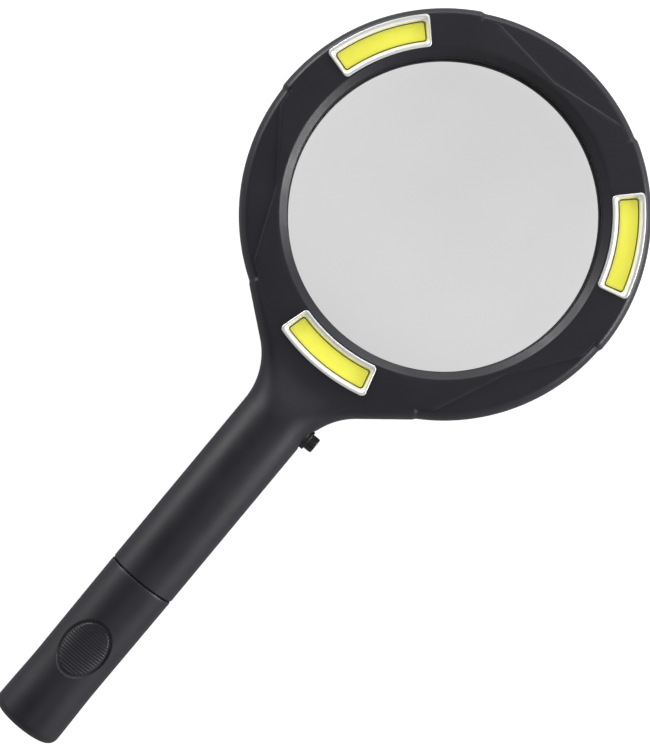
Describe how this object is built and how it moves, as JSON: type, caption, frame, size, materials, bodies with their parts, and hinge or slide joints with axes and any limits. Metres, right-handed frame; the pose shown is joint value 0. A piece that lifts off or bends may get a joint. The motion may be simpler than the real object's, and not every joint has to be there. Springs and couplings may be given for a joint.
{
  "type": "low vision magnifier",
  "caption": "Round illuminated hand magnifier: lens in a split ring with strip lamps, side push button, battery handle with slide-off cap.",
  "frame": {"origin": "middle of the bounding box's floor, with the magnifier lying on its back", "axes": "+Z out of the lamp side of the lens, along the optical axis; +Y from the handle's tail towards the head; +X towards the push button"},
  "size_m": [0.1198, 0.2504, 0.0214],
  "materials": {
    "black_plastic": "matte moulded black",
    "button_black": "satin black",
    "clear_acrylic": "polished clear acrylic",
    "mirror_chrome": "bright metallised plastic",
    "white_board": "white solder mask on aluminium",
    "yellow_phosphor": "yellow phosphor silicone",
    "liner_grey": "dark grey moulded",
    "green_board": "green solder mask",
    "brass": "bright brass",
    "steel": "bright zinc-plated steel",
    "cell_wrap": "silver-grey plastic sleeve",
    "red_wire": "red insulation",
    "black_wire": "black insulation"
  },
  "bodies": {
    "head_and_handle": {"front_shell": "black_plastic", "back_shell": "black_plastic", "lens": "clear_acrylic", "reflector_handle": "mirror_chrome", "reflector_right": "mirror_chrome", "reflector_left": "mirror_chrome", "led_board_handle": "white_board", "led_board_right": "white_board", "led_board_left": "white_board", "led_strip_handle": "yellow_phosphor", "led_strip_right": "yellow_phosphor", "led_strip_left": "yellow_phosphor", "screw_1": "steel", "screw_2": "steel", "screw_3": "steel", "screw_4": "steel", "screw_5": "steel", "button_collar": "button_black", "switch_body": "liner_grey", "switch_spring": "steel", "circuit_board": "green_board", "resistor": "button_black", "contact_holder": "liner_grey", "positive_contact": "brass", "battery_tube": "liner_grey", "contact_strip": "brass", "front_cell": "cell_wrap", "rear_cell": "cell_wrap", "lamp_lead": "red_wire", "right_lead": "red_wire", "left_lead": "black_wire"},
    "button": {"push_button": "button_black", "switch_plunger": "liner_grey"},
    "cap": {"battery_cap": "black_plastic", "tail_spring": "steel", "tail_contact": "brass", "cap_strip": "brass"}
  },
  "joints": [
    {"name": "button_push", "type": "slide", "parent": "head_and_handle", "child": "button", "axis": [-1, 0, 0], "range_m": [0, 0.0012], "stiffness_N_per_m": 800, "springref_m": -0.001, "deforming": ["switch_spring"]},
    {"name": "cap_slide", "type": "slide", "parent": "head_and_handle", "child": "cap", "axis": [0, -1, 0], "range_m": [0, 0.06]}
  ]
}
